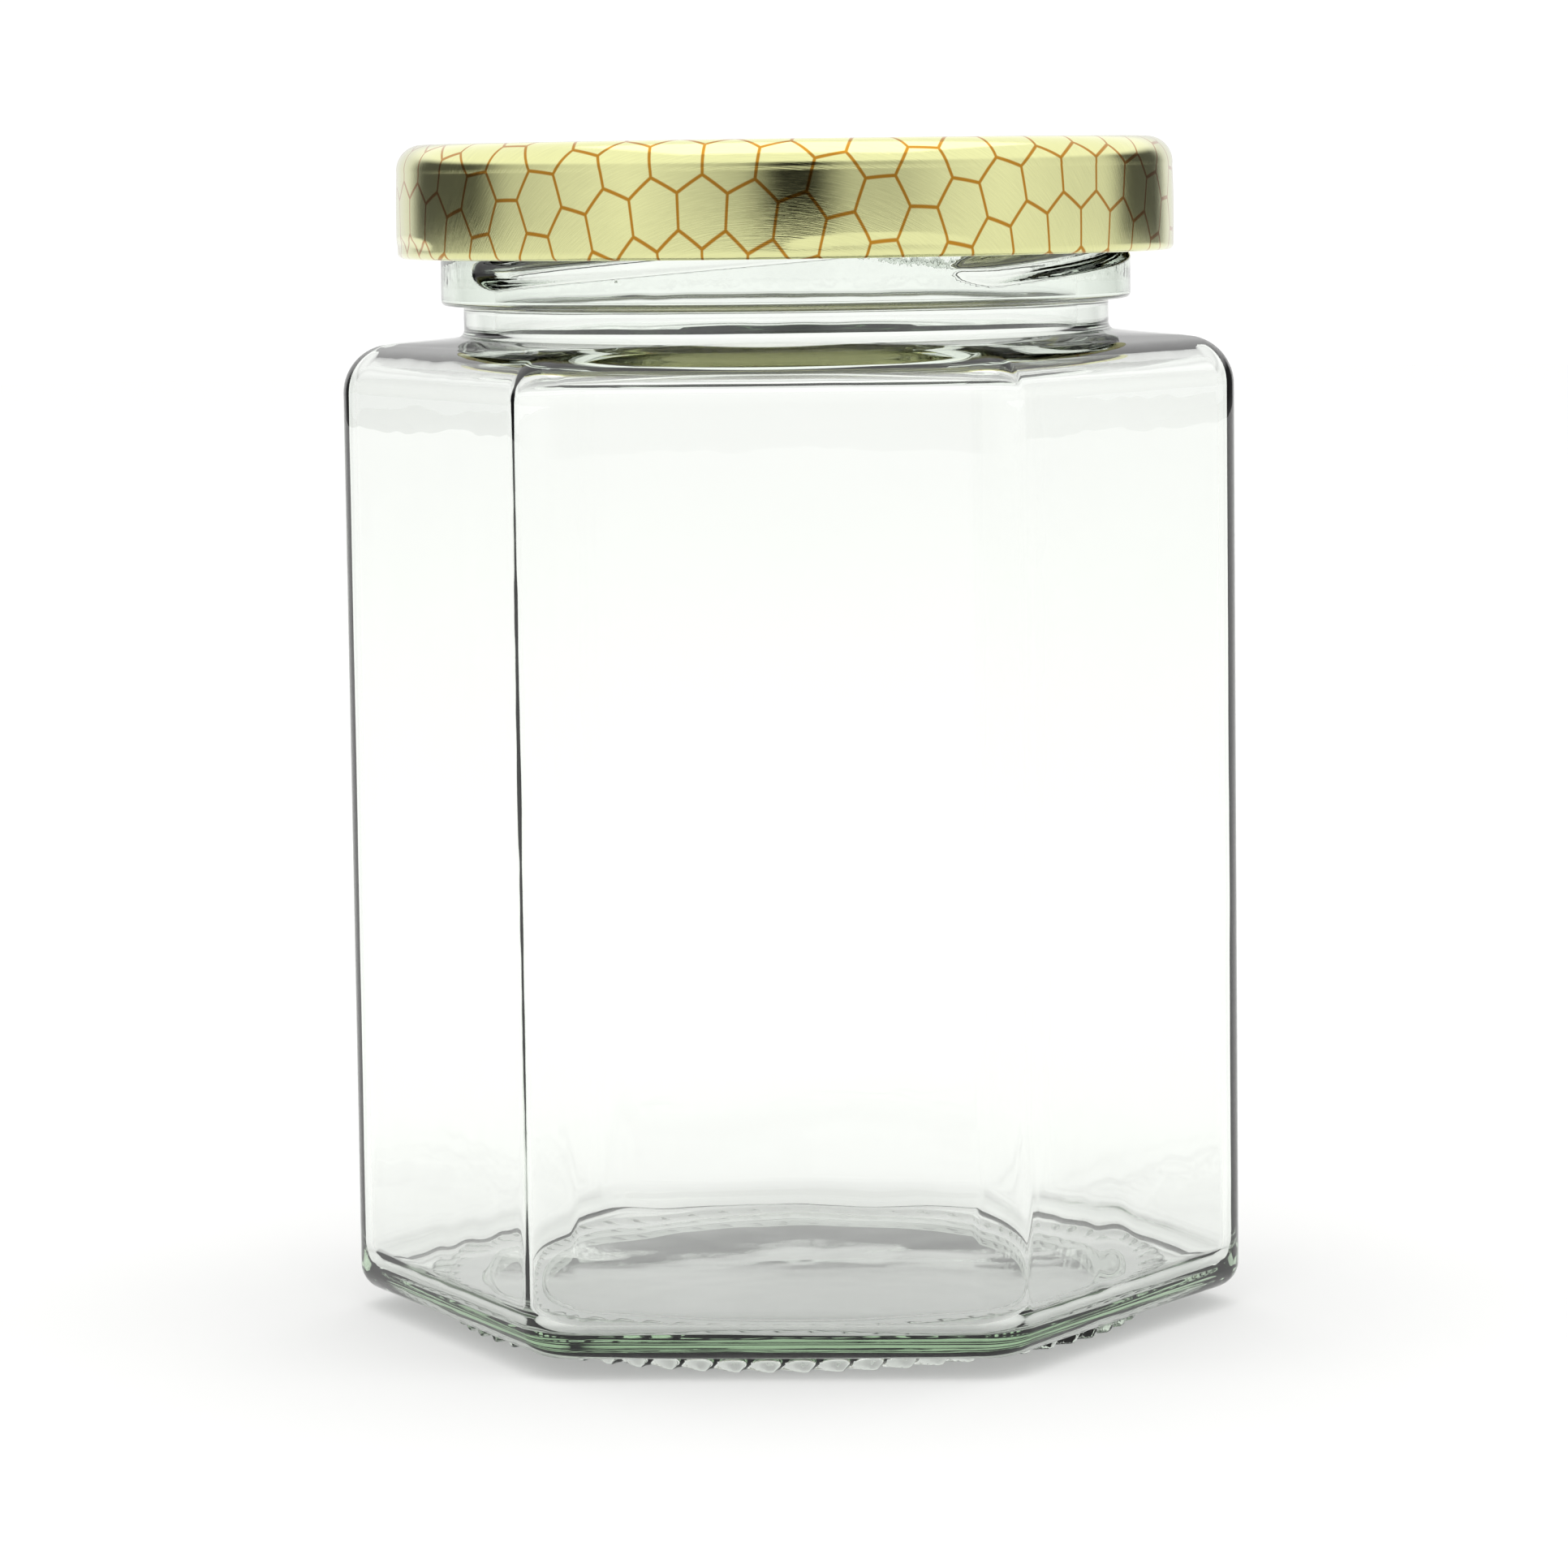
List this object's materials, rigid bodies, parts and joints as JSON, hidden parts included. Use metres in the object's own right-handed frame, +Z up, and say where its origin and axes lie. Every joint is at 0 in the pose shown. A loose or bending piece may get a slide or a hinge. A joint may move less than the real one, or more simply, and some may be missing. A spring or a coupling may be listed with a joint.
{
  "type": "hexagonal glass jar",
  "caption": "Clear hexagonal glass preserving jar, empty, closed by a round gold twist-off lid with a printed honeycomb pattern.",
  "frame": {"origin": "middle of the jar's footprint, on the plane it stands on", "axes": "+Z up along the jar's axis through the lid, -Y out of the front flat side, +X out of a corner"},
  "size_m": [0.0764, 0.0676, 0.1007],
  "materials": {
    "clear_glass": "clear, polished",
    "gold_lacquer": "satin gold lacquer with a printed honeycomb of thin amber lines"
  },
  "bodies": {
    "root": {"glass_jar": "clear_glass", "twist_lid": "gold_lacquer"}
  },
  "joints": []
}
